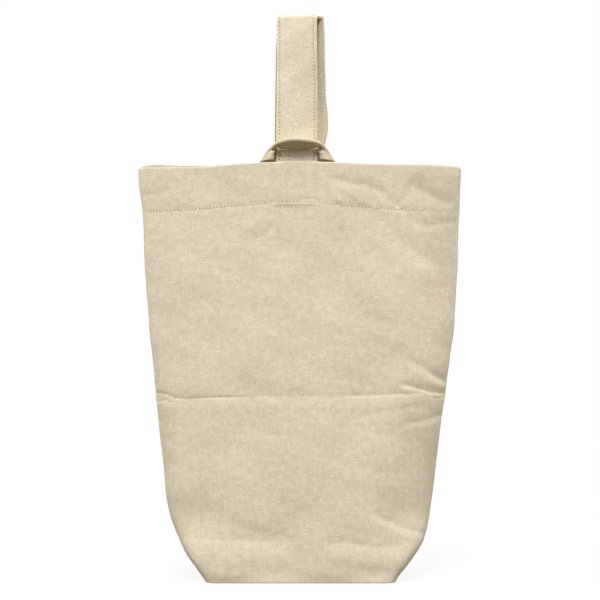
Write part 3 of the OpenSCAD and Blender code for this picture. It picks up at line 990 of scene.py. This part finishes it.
strapBlend = {"from": "bag", "to": "handle", "start": (0, 0, 0.3492),
              "end": (0, 0, 0.3565)}


def makeStrap(route):
    spec = strap
    middles, _, _, along, kinds = route
    half, apart = spec["thick"]/2, 0.02*mm
    points, faces, cloth, row = [], [], [], []
    for under, section in ((False, plySection(apart, half)),
                           (True, plySection(-half, -apart))):
        start = len(points)
        for k, middle in enumerate(middles):
            z, side = middle[2], kinds[k]
            slide = 0.0
            if under and side < 0:
                slide = -spec["underShift"]*fade(z, *spec["shiftAt"])
                slide *= 1 - spec["underBack"]*fade(z, *spec["shiftBackAt"])
            loose = fade(z, *spec["looseAt"])*(spec["underLoose"] if under else 1)
            for x, h in section:
                swell = strapSwell(x, along[k])*loose
                points.append(strapPlace(route, k, x + slide, h + swell))
                cloth.append((x + (spec["underCloth"] if under else 0), along[k]))
                off = spec["wide"]/2 - spec["rowInset"] - abs(x)
                # Painted shade: the under ply's fold at the left edge and the rear
                # strand's inner face are darkened.
                if under and x < spec["foldWide"] - spec["wide"]/2:
                    off -= spec["foldPaintedShade"]
                elif under and side > 0.3 and h < -half/2:
                    off = spec["rearPaintedShade"]
                row.append((along[k] - along[spec["plainRows"]], off))
        faces += tubeFaces(len(middles), len(section), start)
    return makeMesh("strap", points, faces, "handle", "strap_canvas",
                    ["strap_root", "handle_strap"], {"cloth": cloth, "row": row},
                    strapBlend)


# One row of stitches of the strap, at its left (-1) or right (1) edge, on its outer
# face (1) or its inner one (-1).
def strapRow(route, side, face=1):
    outs, along = route[2], route[3]
    x = side*(strap["wide"]/2 - strap["rowInset"])
    lift = face*(strap["thick"]/2 - strap["sunk"][face])
    lift = lift + strapSwell(x, along)*(1 if face > 0 else strap["underLoose"])
    sewn = range(strap["plainRows"], len(along) - strap["plainRows"])
    return [strapPlace(route, k, x, lift[k]) for k in sewn], outs[sewn]*face


strapPath = strapRoute()
strapPiece = makeStrap(strapPath)
strapThread = {"Pitch": stitchPitch, "Length": 2.0*mm, "Width": 0.55*mm,
               "Height": 0.36*mm, "Slant": 0.12, "Seed": 11}
innerThread = strapThread | {"Length": 2.9*mm, "Width": 0.75*mm, "Height": 0.6*mm,
                             "Slant": 0.5, "Seed": 12}
for name, side in (("left", -1), ("right", 1)):
    makeStitches("strapStitching" + name.capitalize(), [strapRow(strapPath, side)],
                 strapThread, "handle", ["strap_stitching_" + name], strapBlend)
makeStitches("strapInnerStitching", [strapRow(strapPath, side, -1) for side in (-1, 1)],
             innerThread, "handle", blend=strapBlend)
print("strap made", len(strapPiece.data.polygons), "long, mm",
      round(strapPath[3][-1]/mm))

loop = {
    "wide": 12*mm, "thick": 2.0*mm, "rootY": 8.4*mm, "foot": 317*mm,
    "rootTop": 347.2*mm, "legBulge": 7.2*mm, "rimBulge": 2.0*mm,
    # So far off a row the whole tape gets a little painted shade.
    "paintedShade": -9.3*mm,
    # The share that turns and widens the cloth's ribs, so that they cross the tape.
    "ribs": 0.56,
    # The tape's two edges from the left root over the crown to its middle (in mm),
    # and what the right half has at the same heights: it is not quite a mirror.
    "outer": [(-34.4, 7.6, 349.4), (-34.3, 4, 349.9), (-34.2, -2, 350),
              (-34.1, -4.4, 350.1), (-33.9, -5.2, 351.2), (-32.6, -5.6, 353.4),
              (-30.4, -6.4, 356.4), (-27.6, -8.4, 360), (-24.4, -11.8, 363.6),
              (-20.6, -15.8, 366.6), (-15.4, -18.8, 368.6), (-9.4, -20.8, 369.5)],
    "inner": [(-22.6, 7.6, 349.4), (-22.6, 4, 349.9), (-22.6, -2, 350),
              (-21.6, -3.2, 350.1), (-20.9, -3.0, 351.2), (-20.8, -3.0, 353.6),
              (-20.8, -3.2, 356.6), (-20.9, -4.2, 359.6), (-21.0, -8.0, 362),
              (-19.6, -10.9, 362.3), (-15.4, -10.3, 361.2), (-9.2, -10.1, 361.0)],
    "innerRight": [(2.8, -10.1, 361.0), (9.4, -10.3, 361.3), (14.2, -11.0, 362.5),
                   (15.6, -9.0, 362.3), (15.0, -4.6, 359.6), (14.8, -2.6, 356.6),
                   (14.8, -2.4, 353.6), (14.8, -2.4, 351.2), (15.0, -2.2, 350.1),
                   (15.6, -1, 350), (16.2, 4, 349.9), (16.2, 7.6, 349.4)],
    "outerTop": (-2.4, -21.5, 369.6), "innerTop": (-2.6, -10.1, 361.0),
    "middle": -3.0,
    # How much further out the right leg lies, from the crown down to its root, and how
    # much higher its outer edge.
    "rightLeg": [0, 0.2, 0.5, 0.9, 1.3, 1.6, 1.8, 1.8, 1.6, 1.2, 0.8, 0.6],
    "rightHigh": [-0.3, 0.2, 1.2, 1.8, 1.8, 0.6, 0, 0, 0, 0, 0, 0],
    # The heights from and to which the bulges come in.
    "crownAt": (353*mm, 361*mm), "topAt": (358*mm, 364*mm), "legAt": (350.5*mm, 352.5*mm),
    # Rows along the arc and each leg, those before the first stitch, and the places of
    # its two rows of stitches from the outer edge (-1) to the inner one (1).
    "arcRows": 120, "legRows": 14, "plainRows": 16,
    "stitchRows": {"front": -0.3, "back": 0.56},
}


# The two edges of the loop's tape, from its left end in the hem to its right end.
def loopEdges():
    spec = loop
    left = np.array(spec["outer"], float)
    right = left[::-1]*[-1, 1, 1] + [2*spec["middle"], 0, 0]
    right[:, 0] += spec["rightLeg"]
    right[:, 2] += spec["rightHigh"]
    edges = []
    for parts in ((left, [spec["outerTop"]], right),
                  (spec["inner"], [spec["innerTop"]], spec["innerRight"])):
        places = np.concatenate(parts)
        at = np.linspace(0, 1, len(places))
        steps = np.linspace(0, 1, spec["arcRows"])
        arc = np.column_stack([through(np.column_stack([at, c]), steps)
                               for c in places.T])*mm
        down = np.linspace(spec["foot"], spec["rootTop"], spec["legRows"])
        depth = spec["rootY"] + lean(down/bag["height"])
        first, last = [np.column_stack([np.full_like(down, x), depth, down])
                       for x in (arc[0, 0], arc[-1, 0])]
        edges.append(np.concatenate([first, arc, last[::-1]]))
    return edges


# Places along and across the tape, and the direction out of its lower and front face.
def loopGrid(places):
    spec = loop
    outer, inner = loopEdges()
    middle = (outer + inner)/2
    ahead = np.gradient(middle, axis=0)
    out = np.cross(inner - outer, ahead)
    out /= np.linalg.norm(out, axis=1)[:, None]
    share = (np.asarray(places)[None, :] + 1)/2
    grid = outer[:, None, :]*(1 - share[..., None]) + inner[:, None, :]*share[..., None]
    crown, top, leg = [fade(middle[:, 2:], *spec[key])
                       for key in ("crownAt", "topAt", "legAt")]
    belly = ease(share/0.75)*(1 - ease((share - 0.84)/0.055))
    rim = (1 - share)**1.8*share**0.7*3.2
    grid = grid + out[:, None, :]*(crown*top*rim*spec["rimBulge"])[..., None]
    grid[..., 1] -= leg*(1 - top)*belly*spec["legBulge"]
    return grid, out, lengthsAlong(middle)


loopBlend = {"from": "bag", "to": "loop", "start": (0, 0.0096, 0.3485),
             "end": (0, 0.0072, 0.3528)}


def makeLoop():
    spec = loop
    across = np.concatenate([[-1, -0.97, -0.9], np.linspace(-0.8, 0.56, 11),
                             [0.62, 0.66, 0.7, 0.74, 0.78, 0.82, 0.88, 0.94, 0.98, 1]])
    depth = spec["thick"]/2*np.sqrt(np.clip(1 - np.abs(across)**9, 0, 1))
    for place in spec["stitchRows"].values():
        depth = depth - 0.22*mm*np.exp(-((across - place)*spec["wide"]/2/(0.5*mm))**2)
    grid, out, along = loopGrid(across)
    ring = ringOf(len(across))
    points, cloth, row = [], [], []
    for k in range(len(grid)):
        for c, side in ring:
            points.append(grid[k, c] + out[k]*depth[c]*side)
            x = across[c]*spec["wide"]/2*1.1
            cloth.append(((x - along[k])*spec["ribs"], (x + along[k])*spec["ribs"]))
            # Painted shade: the whole tape is darkened a little.
            row.append((along[k], spec["paintedShade"]))
    return makeMesh("closingLoop", points, tubeFaces(len(grid), len(ring)), "loop",
                    "strap_canvas", ["closing_loop", "loop_root_left", "loop_root_right"],
                    {"cloth": cloth, "row": row}, loopBlend)


loopPiece = makeLoop()
for name, place in loop["stitchRows"].items():
    grid, out, _ = loopGrid([place])
    sewn = slice(loop["plainRows"], -loop["plainRows"])
    lifted = grid[sewn, 0] + out[sewn]*(loop["thick"]/2 - 0.1*mm)
    makeStitches("loopStitching" + name.capitalize(), [(lifted, out[sewn])],
                 strapThread | {"Seed": 21}, "loop", ["loop_stitching_" + name],
                 loopBlend)
print("loop made", len(loopPiece.data.polygons), "long, mm",
      round(loopGrid([0])[2][-1]/mm))


seams = {"wide": 8*mm, "thick": 1.1*mm, "fromSide": 3.4*mm, "low": 55*mm,
         "high": 341.6*mm, "wave": 0.45*mm, "baseHigh": 1.4*mm, "baseHalf": 64.5*mm,
         "baseDip": 0.35*mm, "cornerAt": 73*mm, "cornerHalf": 46.5*mm}
overlock = {"Pitch": 1.9*mm, "Length": 2.6*mm, "Width": 0.5*mm, "Height": 0.4*mm,
            "Slant": 1.35, "Seed": 31}
toRight, toBack, upward = np.eye(3)


# One strip of cut cloth along a line of places. Its far edge waves, and a fold may dip
# along its middle.
def makeSeam(name, places, across, up, wide, node, wave=0.0, dip=0.0):
    shares = np.array([-1, -0.96, -0.84, -0.5, -0.16, 0, 0.16, 0.5, 0.84, 0.96, 1])
    half = seams["thick"]/2
    thick = half*np.sqrt(np.clip(1 - np.abs(shares)**14, 0, 1))
    thick = thick - dip*np.exp(-(shares/0.12)**2)
    along = lengthsAlong(places)
    ring = ringOf(len(shares))
    points, cloth, row = [], [], []
    for k, place in enumerate(places):
        lift = wave*(math.sin(along[k]/(9*mm)) + 0.6*math.sin(along[k]/(4.1*mm) + 1))
        for c, side in ring:
            flat = -half if dip and side < 0 else thick[c]*side
            points.append(place + across*shares[c]*wide/2
                          + up*(flat + lift*(1 + shares[c])/2))
            cloth.append((shares[c]*wide/2, along[k]))
            row.append((along[k], 1.0))
    faces = tubeFaces(len(places), len(ring))
    if np.dot(np.cross(across, places[1] - places[0]), up) < 0:
        faces = [tuple(reversed(f)) for f in faces]
    makeMesh(name, points, faces, "bag", "canvas_inside", [node],
             {"cloth": cloth, "row": row})
    edge = np.array(points).reshape(len(places), len(ring), 3)[:, len(shares) - 2]
    return edge + up*0.12*mm


for side, sign in (("Left", 1), ("Right", -1)):
    places = []
    for z in np.linspace(seams["low"], seams["high"], 90):
        x, _, _ = planRow(z/bag["height"])
        edge = x[0] if sign > 0 else x[-1]
        places.append((edge + sign*(seams["fromSide"] + seams["wide"]/2), 0, z))
    edge = makeSeam("sideSeam" + side, np.array(places), sign*toRight, toBack,
                    seams["wide"], "side_seam_" + side.lower(), wave=seams["wave"])
    makeStitches("sideOverlock" + side, [(edge, np.tile(toBack, (len(edge), 1)))],
                 overlock, "bag")
    y = np.linspace(-seams["cornerHalf"], seams["cornerHalf"], 40)
    middle = np.column_stack([np.full_like(y, -sign*seams["cornerAt"]), y,
                              np.full_like(y, seams["baseHigh"])])
    makeSeam("cornerSeam" + side, middle, sign*toRight, upward, seams["wide"],
             "corner_seam_" + side.lower())
x = np.linspace(-seams["baseHalf"], seams["baseHalf"], 50)
middle = np.column_stack([x, np.zeros_like(x), np.full_like(x, seams["baseHigh"])])
makeSeam("baseSeam", middle, toBack, upward, 2*seams["wide"], "base_seam",
         dip=seams["baseDip"])
print("inner seams made")
